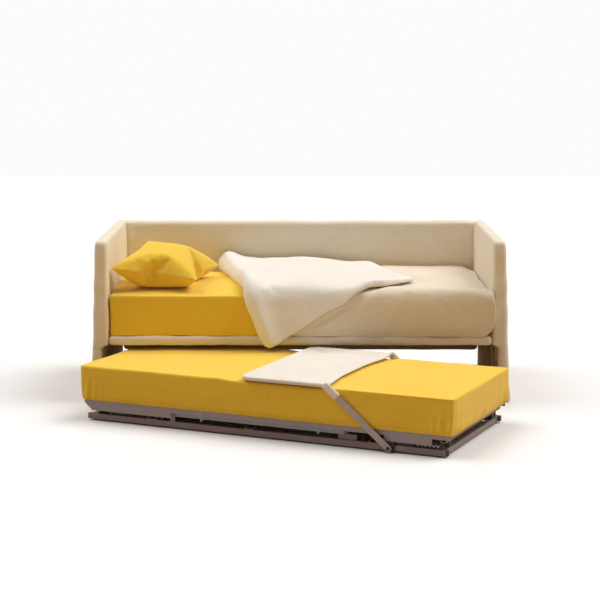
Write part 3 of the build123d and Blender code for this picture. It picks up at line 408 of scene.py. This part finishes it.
def paddedBox(name, low, high, rounding, material, voxel, steps=4):
    # a block with every edge rolled over
    bm = bmesh.new()
    bmesh.ops.create_cube(bm, size=1.0)
    size = Vector(high) - Vector(low)
    middle = (Vector(high) + Vector(low)) / 2
    bmesh.ops.scale(bm, vec=size, verts=bm.verts)
    bmesh.ops.translate(bm, vec=middle, verts=bm.verts)
    bmesh.ops.bevel(
        bm, geom=bm.edges[:], offset=rounding, segments=steps, profile=0.5, affect="EDGES", material=-1
    )
    obj = newPiece(name, meshFrom(bm, name), material)
    remesh(obj, voxel, 2)
    return obj


def swell(obj, amount, scale, seed):
    # uneven padding under the cover, moved along the surface's own normal
    reshape(obj, lambda place, normal: place + normal * amount * ripple(place, scale, seed))


# ---- sofa shell ----

panelShape = {
    "voxel": 0.0085, "rounding": 0.022, "crown": 0.006, "uneven": 0.0030, "reliefTop": 0.290, "reliefDepth": 0.033,
    "lift": 0.008, "lean": 0.036,
}


def sidePanel(name, node, side):
    low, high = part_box(node)
    bm = bmesh.new()
    bmesh.ops.create_cube(bm, size=1.0)
    bmesh.ops.scale(bm, vec=high - low, verts=bm.verts)
    bmesh.ops.translate(bm, vec=(high + low) / 2, verts=bm.verts)
    # the bare lower part stands back under the padding
    for level in (panelShape["reliefTop"], panelShape["reliefTop"] - 0.006):
        bmesh.ops.bisect_plane(bm, geom=bm.verts[:] + bm.edges[:] + bm.faces[:], plane_co=(0, 0, level), plane_no=(0, 0, 1))
    inner, outer = (low.x, high.x) if side > 0 else (high.x, low.x)
    for vertex in bm.verts:
        if abs(vertex.co.x - inner) < 1e-4 and vertex.co.z < panelShape["reliefTop"] - 0.003:
            vertex.co.x += side * panelShape["reliefDepth"]
    edges = [e for e in bm.edges if e.calc_face_angle(0) > 0.3 and min(v.co.z for v in e.verts) > panelShape["reliefTop"] + 0.01 or abs(e.verts[0].co.z - e.verts[1].co.z) > 0.1]
    bmesh.ops.bevel(bm, geom=edges, offset=panelShape["rounding"], segments=4, profile=0.5, affect="EDGES", material=-1)
    obj = newPiece(name, meshFrom(bm, name), finishes["linen"])
    remesh(obj, panelShape["voxel"], 2)

    def pad(place, normal):
        # the padding stands fullest in the middle of the inner and outer faces
        along = ramp(place.y - low.y, 0.0, 0.12) * ramp(high.y - place.y, 0.0, 0.12)
        up = ramp(place.z, 0.30, 0.42) * ramp(0.815 - place.z, 0.0, 0.09)
        place.x += panelShape["crown"] * along * up * (1 if normal.x > 0.7 else -1 if normal.x < -0.7 else 0)
        # the front edge is a little slack, with short pulls along its roll
        near = exp(-max(0.0, place.y - low.y) / 0.05)
        place += normal * 0.0022 * near * sin(place.z * 34 + 1.3 * sin(place.z * 11))
        place += normal * panelShape["uneven"] * ripple(place, (7, 7, 5), 3.0 + side)
        outward = (place.x - inner) / (outer - inner)
        place.x -= side * panelShape["lean"] * outward * ((place.z - low.z) / (high.z - low.z) - 0.32)
        place.z = max(place.z, panelShape["lift"])
        return place

    reshape(obj, pad)
    smoothShade(obj)
    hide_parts(node)
    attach(obj, "sofa")
    return obj


sidePanel("leftSidePanel", "left_side_panel", -1)
sidePanel("rightSidePanel", "right_side_panel", 1)

backShape = {"voxel": 0.0085, "rounding": 0.024, "crown": 0.008, "uneven": 0.006}
low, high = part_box("back_panel")
low, high = Vector((low.x - 0.030, low.y, low.z)), Vector((high.x + 0.030, high.y, high.z))
backPanel = paddedBox("backPanel", low, high, backShape["rounding"], finishes["linen"], backShape["voxel"])


def padBack(place, normal):
    sides = ramp(place.x - low.x, 0.0, 0.16) * ramp(high.x - place.x, 0.0, 0.16)
    up = ramp(high.z - place.z, 0.0, 0.12)
    if normal.y < -0.6:
        place.y -= backShape["crown"] * sides * up
        # puckers where the cover is drawn into the seams at both ends
        end = min(place.x - low.x, high.x - place.x) - 0.030
        place.y -= 0.007 * exp(-max(end, 0.0) / 0.07) * ripple(place, (14, 1, 30), 4.0)
        place.y -= 0.006 * exp(-((end - 0.022) / 0.012) ** 2) * ramp(place.z, 0.50, 0.75)
    return place + normal * backShape["uneven"] * ripple(place, (4, 4, 6), 9.0)


reshape(backPanel, padBack)
smoothShade(backPanel)
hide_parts("back_panel")
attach(backPanel, "sofa")

railShape = {"voxel": 0.006, "rounding": 0.016, "uneven": 0.0045, "sunk": 0.022}
low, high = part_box("front_rail")
frontRail = paddedBox("frontRail", low, high, railShape["rounding"], finishes["linen"], railShape["voxel"])


def lowerRail(place, normal):
    up = ramp(place.z, low.z, high.z)
    place.z -= railShape["sunk"] * up
    uneven = railShape["uneven"] * ripple(place, (9, 12, 14), 21.0)
    if normal.z < -0.2:
        uneven = -abs(uneven)  # its underside stays clear of the stowed bed
    return place + normal * uneven


reshape(frontRail, lowerRail)
smoothShade(frontRail)
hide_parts("front_rail")
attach(frontRail, "sofa")
print("sofa shell")


# ---- upper mattress ----

upperShape = {"voxel": 0.0075, "rounding": 0.009, "crown": 0.017, "uneven": 0.004, "hang": 0.023}
low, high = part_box("upper_mattress")
high = Vector((high.x, high.y, high.z))
upperMattress = paddedBox("upperMattress", low, high, upperShape["rounding"], finishes["sheetYellow"], upperShape["voxel"])


def crownUpper(place, normal):
    inside = ramp(place.x - low.x, 0, 0.25) * ramp(high.x - place.x, 0, 0.25)
    inside *= ramp(place.y - low.y, 0, 0.2) * ramp(high.y - place.y, 0, 0.2)
    up = (place.z - low.z) / (high.z - low.z)
    place.z += upperShape["crown"] * (inside - 1) * up
    # the front hangs down over the rail
    place.y += 0.016 * ramp(place.x, 0.82, 0.90) * (1 - ramp(place.y, low.y + 0.01, low.y + 0.04))
    place.z -= upperShape["hang"] * (1 - ramp(up, 0.0, 0.5)) * (1 - ramp(place.y, low.y + 0.01, low.y + 0.04))
    if normal.y < -0.6:
        # the sheet is pulled down over the front and tucked in below
        down = ramp(high.z - place.z, 0.02, 0.20)
        place.y -= 0.003 * down * ripple(place, (16, 1, 3), 7.0)
    return place + normal * upperShape["uneven"] * ripple(place, (5, 5, 9), 33.0)


reshape(upperMattress, crownUpper)
smoothShade(upperMattress)
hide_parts("upper_mattress")
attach(upperMattress, "sofa")


# ---- duvet and its folded-back corner ----

drapeShape = {"back": frontFace + 0.885, "front": frontFace + 0.0117, "top": 0.5523, "bend": 0.044}
flatRun = drapeShape["back"] - drapeShape["front"] - drapeShape["bend"]
bendRun = drapeShape["bend"] * pi / 2


def overEdge(x, run, height):
    # from the flat cloth to its place: back along the top, over the front edge and down
    bend = drapeShape["bend"]
    if run < flatRun:
        return Vector((x, drapeShape["back"] - run, drapeShape["top"] + height))
    if run < flatRun + bendRun:
        turn = (run - flatRun) / bend
        return Vector((
            x,
            drapeShape["front"] + bend - (bend + height) * sin(turn),
            drapeShape["top"] - bend + (bend + height) * cos(turn),
        ))
    return Vector((x, drapeShape["front"] - height, drapeShape["top"] - bend - (run - flatRun - bendRun)))


def slabOf(name, outline, thickness, material, voxel):
    # a flat slab of the cut shape, ready to be laid over the bed
    bm = bmesh.new()
    corners = [bm.verts.new((x, run, 0)) for x, run in outline]
    bm.faces.new(corners)
    made = bmesh.ops.extrude_face_region(bm, geom=bm.faces[:])
    top = [item for item in made["geom"] if isinstance(item, bmesh.types.BMVert)]
    bmesh.ops.translate(bm, vec=(0, 0, thickness), verts=top)
    obj = newPiece(name, meshFrom(bm, name), material)
    remesh(obj, voxel, 3)
    return obj


duvetShape = {
    "voxel": 0.0085, "thickness": 0.026, "ground": 0.002, "puff": 0.010,
    # x and run along the cloth: the slanting left end, the hem and the bulging right end
    "outline": [
        (-0.45, 0.01), (-0.27, 0.87), (-0.20, 1.070), (0.10, 1.076), (0.45, 1.078), (0.80, 1.074), (0.925, 1.076),
        (0.955, 1.045), (0.972, 0.99), (0.974, 0.93), (0.964, 0.87), (0.953, 0.80), (0.950, 0.5), (0.948, 0.01),
    ],
}
duvet = slabOf("duvetCover", duvetShape["outline"], duvetShape["thickness"], finishes["duvetCotton"], duvetShape["voxel"])


def flapEdgeAt(run):
    # the right edge of the folded corner, at a distance along the cloth
    edge = [(0.0, 0.355), (0.598, 0.584), (0.795, 0.425), (1.123, -0.160)]
    for (ra, xa), (rb, xb) in zip(edge, edge[1:]):
        if run <= rb:
            return xa + (xb - xa) * (run - ra) / (rb - ra)
    return edge[-1][1]


def layDuvet(place, normal):
    x, run, height = place
    share = height / duvetShape["thickness"]
    puff = duvetShape["puff"] * (0.35 + ripple((x, run, 0), (3.2, 4.5, 1), 2.0))
    # a soft diagonal crease on the front, and the swelling over the front edge
    crease = x - 0.47 - 0.55 * (1.0 - run)
    puff -= 0.007 * exp(-(crease / 0.016) ** 2) * ramp(run, 0.86, 0.95)
    puff += 0.008 * exp(-((crease + 0.05) / 0.04) ** 2) * ramp(run, 0.84, 0.93)
    puff += 0.010 * exp(-((run - 0.90) / 0.09) ** 2)
    hem = ramp(run, 1.02, 1.075)
    puff -= 0.010 * hem
    ending = ramp(x, 0.80, 0.95)
    puff -= 0.016 * ending * (1 - ramp(run, 0.80, 0.90))
    edge = min(1.0, max(0.12, 1 - hem * 0.25))
    # it is pressed flat where the folded corner lies on it
    pressed = 1 - 0.62 * (1 - ramp(x, flapEdgeAt(run) - 0.005, flapEdgeAt(run) + 0.10))
    height = duvetShape["ground"] + share * (duvetShape["thickness"] * edge + puff) * pressed
    place = overEdge(x, run, height)
    # the right end sinks between the mattress and the side panel
    place.z -= 0.012 * ramp(place.x, 0.88, 0.96) * ramp(place.y, frontFace, frontFace + 0.06)
    if place.y > frontFace + 0.004:
        place.x = min(place.x, 0.9535)
    return place


reshape(duvet, layDuvet)
inflate(duvet, 2.0, 12, 0.010)
smoothShade(duvet)
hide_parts("duvet")
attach(duvet, "sofa")

flapShape = {
    "voxel": 0.0085, "thickness": 0.031, "ground": 0.019, "roll": 0.025, "puff": 0.015,
    "outline": [
        (-0.455, 0.005), (-0.405, 0.24), (-0.352, 0.47), (-0.300, 0.75), (-0.284, 0.88), (-0.240, 0.992),
        (-0.208, 1.078), (-0.182, 1.118), (-0.155, 1.123), (-0.115, 1.105), (-0.035, 1.055), (0.06, 0.991),
        (0.141, 0.938), (0.245, 0.886), (0.345, 0.842), (0.425, 0.795), (0.500, 0.718), (0.553, 0.650),
        (0.584, 0.598), (0.578, 0.568), (0.545, 0.480), (0.500, 0.360), (0.445, 0.208), (0.400, 0.100), (0.355, 0.005),
    ],
}
flap = slabOf("duvetFlap", flapShape["outline"], flapShape["thickness"], finishes["flapCotton"], flapShape["voxel"])
# the lower layer of the fold is the outer side of the duvet
flap.data.materials.append(finishes["duvetCotton"])
for face in flap.data.polygons:
    if face.center.z < 0.5 * flapShape["thickness"]:
        face.material_index = 1


def fromLeftEdge(x, run):
    # how far a point of the flap lies from its folded left edge
    edge = [(-0.455, 0.0), (-0.352, 0.47), (-0.284, 0.88), (-0.182, 1.13)]
    for (xa, ra), (xb, rb) in zip(edge, edge[1:]):
        if run <= rb:
            return x - (xa + (xb - xa) * (run - ra) / (rb - ra))
    return x - edge[-1][0]


def layFlap(place, normal):
    x, run, height = place
    share = height / flapShape["thickness"]
    inward = fromLeftEdge(x, run)
    roll = flapShape["roll"] * exp(-((inward - 0.05) / 0.055) ** 2)
    puff = flapShape["puff"] * max(0.0, 0.4 + 0.6 * ripple((x, run, 0), (4.2, 3.4, 1), 11.0))
    slant = (x + 0.55 * run)
    puff += 0.005 * sin(slant * 17 + 2.5 * ripple((x, run, 0), (2.4, 2.4, 1), 5.0))
    # bunched up against the back
    bunch = (1 - ramp(run, 0.02, 0.30)) * (1 - ramp(x, -0.30, 0.50))
    lift = 0.024 * bunch * (0.9 + ripple((x, run, 0), (7, 6, 1), 6.0))
    # the left edge is the fold itself, so it closes down to the mattress there
    ground = flapShape["ground"] * ramp(inward, 0.0, 0.10) + 0.003
    top = flapShape["ground"] + flapShape["thickness"] + roll + puff + lift
    top -= 0.022 * (1 - ramp(inward, -0.01, 0.04))
    thin = 1 - 0.25 * ramp(x, 0.30, 0.56)
    height = ground + share * (top - ground) * thin
    return overEdge(x, run, height)


reshape(flap, layFlap)
inflate(flap, 2.5, 12, 0.005)
smoothShade(flap)
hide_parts("duvet_flap")
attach(flap, "sofa")
print("upper bed")


# ---- pillow ----

pillowShape = {
    "cuts": 44, "pressure": 7.0, "spread": 1.09, "sheets": 0.006,
    # where its corners lie: it leans on the left side panel, so the left end is higher
    "frontLeft": (-0.932, 0.07, 0.700), "frontRight": (-0.526, 0.06, 0.578),
    "backLeft": (-0.880, 0.58, 0.632), "backRight": (-0.433, 0.60, 0.645),
}
pillowCorner = {
    name: Vector(pillowShape[name]) + Vector((0, frontFace, 0))
    for name in ("frontLeft", "frontRight", "backLeft", "backRight")
}
pillowMiddle = sum(pillowCorner.values(), Vector()) / 4
bm = bmesh.new()
bmesh.ops.create_grid(bm, x_segments=pillowShape["cuts"], y_segments=pillowShape["cuts"], size=0.5)
for vertex in bm.verts:
    right, back = vertex.co.x + 0.5, vertex.co.y + 0.5
    front = pillowCorner["frontLeft"].lerp(pillowCorner["frontRight"], right)
    behind = pillowCorner["backLeft"].lerp(pillowCorner["backRight"], right)
    vertex.co = pillowMiddle + (front.lerp(behind, back) - pillowMiddle) * pillowShape["spread"]
made = bmesh.ops.extrude_face_region(bm, geom=bm.faces[:])
raised = [item for item in made["geom"] if isinstance(item, bmesh.types.BMVert)]
bmesh.ops.translate(bm, vec=(0, 0, pillowShape["sheets"]), verts=raised)
pillow = newPiece("headPillow", meshFrom(bm, "headPillow"), finishes["sheetYellow"])
inflate(pillow, pillowShape["pressure"], 34, 0.16, mass=0.15, tension=22.0, bending=4.0)
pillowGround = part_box("upper_mattress")[1].z - 0.010
print("pillow reaches down to", round(min(v.co.z for v in pillow.data.vertices) - pillowGround, 4))


def settlePillow(place, normal):
    # it is flat where it rests on the mattress
    if place.z < pillowGround + 0.03:
        place.z = pillowGround + 0.03 * ramp(place.z, pillowGround - 0.05, pillowGround + 0.05)
    return place


reshape(pillow, settlePillow)
finer = pillow.modifiers.new("finer", "SUBSURF")
finer.levels = finer.render_levels = 2
bake(pillow)
smoothShade(pillow)
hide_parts("pillow")
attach(pillow, "sofa")


# ---- lower mattress ----

lowerShape = {
    "turn": -24.5, "centre": (-0.030, frontFace - 0.400), "length": 1.884, "width": 0.794, "bottom": 0.1003, "top": 0.2593,
    "voxel": 0.0068, "rounding": 0.007, "corner": 0.016, "crown": 0.002, "full": 0.006,
}
bedTurn = Matrix.Translation((*lowerShape["centre"], 0)) @ Matrix.Rotation(radians(lowerShape["turn"]), 4, "Z")
halfLong, halfWide = lowerShape["length"] / 2, lowerShape["width"] / 2
bm = bmesh.new()
bmesh.ops.create_cube(bm, size=1.0)
bmesh.ops.scale(bm, vec=(lowerShape["length"], lowerShape["width"], lowerShape["top"] - lowerShape["bottom"]), verts=bm.verts)
bmesh.ops.translate(bm, vec=(0, 0, (lowerShape["top"] + lowerShape["bottom"]) / 2), verts=bm.verts)
posts = [e for e in bm.edges if abs(e.verts[0].co.z - e.verts[1].co.z) > 0.05]
bmesh.ops.bevel(bm, geom=posts, offset=lowerShape["corner"], segments=6, profile=0.5, affect="EDGES", material=-1)
rims = [e for e in bm.edges if abs(e.verts[0].co.z - e.verts[1].co.z) < 1e-5 and e.calc_face_angle(0) > 1.0]
bmesh.ops.bevel(bm, geom=rims, offset=lowerShape["rounding"], segments=3, profile=0.5, affect="EDGES", material=-1)
lowerMattress = newPiece("lowerMattress", meshFrom(bm, "lowerMattress"), finishes["sheetYellow"])
remesh(lowerMattress, lowerShape["voxel"], 1)


def fitSheet(place, normal):
    u, v, z = place
    down = ramp(lowerShape["top"] - z, 0.015, 0.15)
    if normal.z > 0.6:
        inside = ramp(halfLong - abs(u), 0, 0.2) * ramp(halfWide - abs(v), 0, 0.2)
        place.z += lowerShape["crown"] * inside + 0.0018 * ripple((u, v, 0), (6, 6, 1), 17.0)
    # it stands fuller where the headrest doesn't lie on it
    full = 1 - ramp(u, -0.22, -0.13) * (1 - ramp(u, 0.345, 0.385))
    place.z += lowerShape["full"] * full * (z - lowerShape["bottom"]) / (lowerShape["top"] - lowerShape["bottom"])
    if normal.z > 0.6:
        return place
    # the fitted sheet gathers round each corner, more towards its elastic hem
    cornerNear = ramp(0.16 - min(halfLong - abs(u) + (halfWide - abs(v)), 0.16), 0.0, 0.12)
    along = u if abs(v) > halfWide - 0.04 else v
    gathers = sin(along * 165 + 3 * ripple((u, v, z), (9, 9, 5), 1.0)) * (0.6 + 0.4 * ripple((u, v, 0), (30, 30, 1), 2.0))
    waves = ripple((u, v, z), (11, 11, 6), 8.0)
    slack = ripple((u, v, z), (4, 4, 16), 14.0)
    push = 0.0075 * gathers * down * cornerNear + 0.0045 * waves * down + 0.0026 * slack
    push -= 0.004 * ramp(lowerShape["top"] - z, 0.13, 0.16)
    if abs(v) > halfWide - 0.03:
        # the long sides leave the headrest's arms room to swing
        push = min(push - 0.003 * ramp(u, 0.26, 0.36), 0.0030)
    place += Vector((normal.x, normal.y, 0)) * push
    if z < lowerShape["bottom"] + 0.03 and z > lowerShape["bottom"] + 0.001:
        # the hem rides up and down a little between its gathers
        place.z += 0.006 * ripple((u, v, 0), (8, 8, 1), 23.0) * ramp(0.03 - z + lowerShape["bottom"], 0.0, 0.03)
    return place


reshape(lowerMattress, fitSheet)
lowerMattress.data.transform(bedTurn)
smoothShade(lowerMattress)
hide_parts("lower_mattress")
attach(lowerMattress, "bed_frame")


# ---- headrest sleeve ----

sleeveShape = {
    "near": 0.338, "far": -0.095, "across": 0.412, "bottom": 0.2683, "top": 0.2883, "corner": 0.060,
    "voxel": 0.0055, "cuff": 0.085, "hollow": 0.024,
}
bm = bmesh.new()
bmesh.ops.create_cube(bm, size=1.0)
bmesh.ops.scale(bm, vec=(
    sleeveShape["near"] - sleeveShape["far"], 2 * sleeveShape["across"], sleeveShape["top"] - sleeveShape["bottom"]
), verts=bm.verts)
bmesh.ops.translate(bm, vec=(
    (sleeveShape["near"] + sleeveShape["far"]) / 2, 0, (sleeveShape["top"] + sleeveShape["bottom"]) / 2
), verts=bm.verts)
posts = [e for e in bm.edges if abs(e.verts[0].co.z - e.verts[1].co.z) > 0.01 and e.verts[0].co.x < 0]
bmesh.ops.bevel(bm, geom=posts, offset=sleeveShape["corner"], segments=6, profile=0.5, affect="EDGES", material=-1)
rims = [e for e in bm.edges if abs(e.verts[0].co.z - e.verts[1].co.z) < 1e-5 and e.calc_face_angle(0) > 1.0]
bmesh.ops.bevel(bm, geom=rims, offset=0.0075, segments=3, profile=0.5, affect="EDGES", material=-1)
# the cloth runs a little way down both arms
armLine = Vector((0.640 - 0.3445, 0, 0.022 - 0.2733)).normalized()
for side in (-1, 1):
    cuff = bmesh.ops.create_cube(bm, size=1.0)["verts"]
    bmesh.ops.scale(bm, vec=(sleeveShape["cuff"], 0.015, 0.037), verts=cuff)
    bmesh.ops.rotate(bm, cent=(0, 0, 0), matrix=armLine.to_track_quat("X", "Z").to_matrix(), verts=cuff)
    middle = Vector((0.3445, side * 0.4045, 0.2733)) + armLine * (sleeveShape["cuff"] / 2 - 0.016)
    bmesh.ops.translate(bm, vec=middle, verts=cuff)
sleeve = newPiece("headrestSleeve", meshFrom(bm, "headrestSleeve"), finishes["headrestCloth"])
remesh(sleeve, sleeveShape["voxel"], 1)


def slackSleeve(place, normal):
    u, v, z = place
    rim = min(sleeveShape["across"] - abs(v), u - sleeveShape["far"])
    # the cloth is drawn over the bars at both sides and at the far end, and hangs slack between them
    sagging = ramp(rim, 0.02, 0.10)
    seam = exp(-((rim - 0.030) / 0.0035) ** 2)
    # between the arms the near edge is drawn in
    drawn = ramp(u, 0.10, sleeveShape["near"]) * ramp(sleeveShape["across"] - abs(v), 0.03, 0.30)
    place.x -= sleeveShape["hollow"] * drawn
    if normal.z > 0.3 and z > 0.26:
        place.z -= 0.008 * sagging + 0.0028 * seam
        place.z += 0.0022 * ripple((u, v, 0), (14, 14, 1), 3.0) * sagging
        place.z += 0.0013 * sin((u if abs(v) > 0.33 else v) * 210) * exp(-((rim - 0.022) / 0.014) ** 2)
    return place


reshape(sleeve, slackSleeve)
sleeve.data.transform(bedTurn)
smoothShade(sleeve)
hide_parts("headrest_sleeve")
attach(sleeve, "headrest")
print("lower bed")


# ---- floor, light and camera ----

floorMaterial, floorTree, floorShader, floorPlace = newMaterial("paleFloor")
# the floor is pale to look at, and gives back a dimmer, warmer light to the front of the sofa
floorRays = floorTree.nodes.new("ShaderNodeLightPath")
floorTone = colourRamp(floorTree, floorRays.outputs["Is Camera Ray"], [(0.0, (0.51, 0.36, 0.24)), (1.0, (0.925, 0.94, 0.965))])
floorTree.links.new(floorTone, floorShader.inputs["Base Color"])
floorShader.inputs["Roughness"].default_value = 0.6
floorShader.inputs["Specular IOR Level"].default_value = 0.15
bm = bmesh.new()
bmesh.ops.create_grid(bm, x_segments=1, y_segments=1, size=14.0)
floor = newPiece("studioFloor", meshFrom(bm, "studioFloor"), floorMaterial)

world = bpy.data.worlds.new("paleStudio")
bpy.context.scene.world = world
world.use_nodes = True
skyTree = world.node_tree
background = skyTree.nodes["Background"]
rays = skyTree.nodes.new("ShaderNodeLightPath")
seen = mathNode(skyTree, "MAXIMUM", rays.outputs["Is Camera Ray"], rays.outputs["Is Glossy Ray"])
seen = mathNode(skyTree, "MAXIMUM", seen, rays.outputs["Is Transmission Ray"])
skyTree.links.new(rangeNode(skyTree, seen, 0, 1, 0.26, 0.975), background.inputs["Strength"])
skyTree.links.new(colourRamp(skyTree, seen, [(0.0, (1.0, 0.84, 0.66)), (1.0, (1.0, 1.0, 1.0))]), background.inputs["Color"])

skyLights = {
    "skylightRight": dict(strength=2.0, angle=44, source=(0.56, 0.10, 0.82), tint=(1.0, 0.992, 0.98)),
    "skylightLeft": dict(strength=1.35, angle=44, source=(-0.50, 0.14, 0.86), tint=(1.0, 0.992, 0.98)),
}
for lampName, lamp in skyLights.items():
    sun = bpy.data.lights.new(lampName, "SUN")
    sun.energy = lamp["strength"]
    sun.angle = radians(lamp["angle"])
    sun.color = lamp["tint"]
    sunObject = bpy.data.objects.new(lampName, sun)
    sunObject.rotation_euler = Vector(lamp["source"]).to_track_quat("Z", "Y").to_euler()
    bpy.context.scene.collection.objects.link(sunObject)

view = {"focal": 1667.0, "place": (-0.0019, frontFace - 8.17, 1.8008), "pitch": 0.1553}
cameraData = bpy.data.cameras.new("photoCamera")
cameraData.sensor_width = 36
cameraData.lens = view["focal"] * 36 / 600
camera = bpy.data.objects.new("photoCamera", cameraData)
camera.location = view["place"]
camera.rotation_euler = (pi / 2 - view["pitch"], 0, 0)
bpy.context.scene.collection.objects.link(camera)
bpy.context.scene.camera = camera
bpy.context.scene.view_settings.view_transform = "Standard"

bpy.context.view_layer.update()
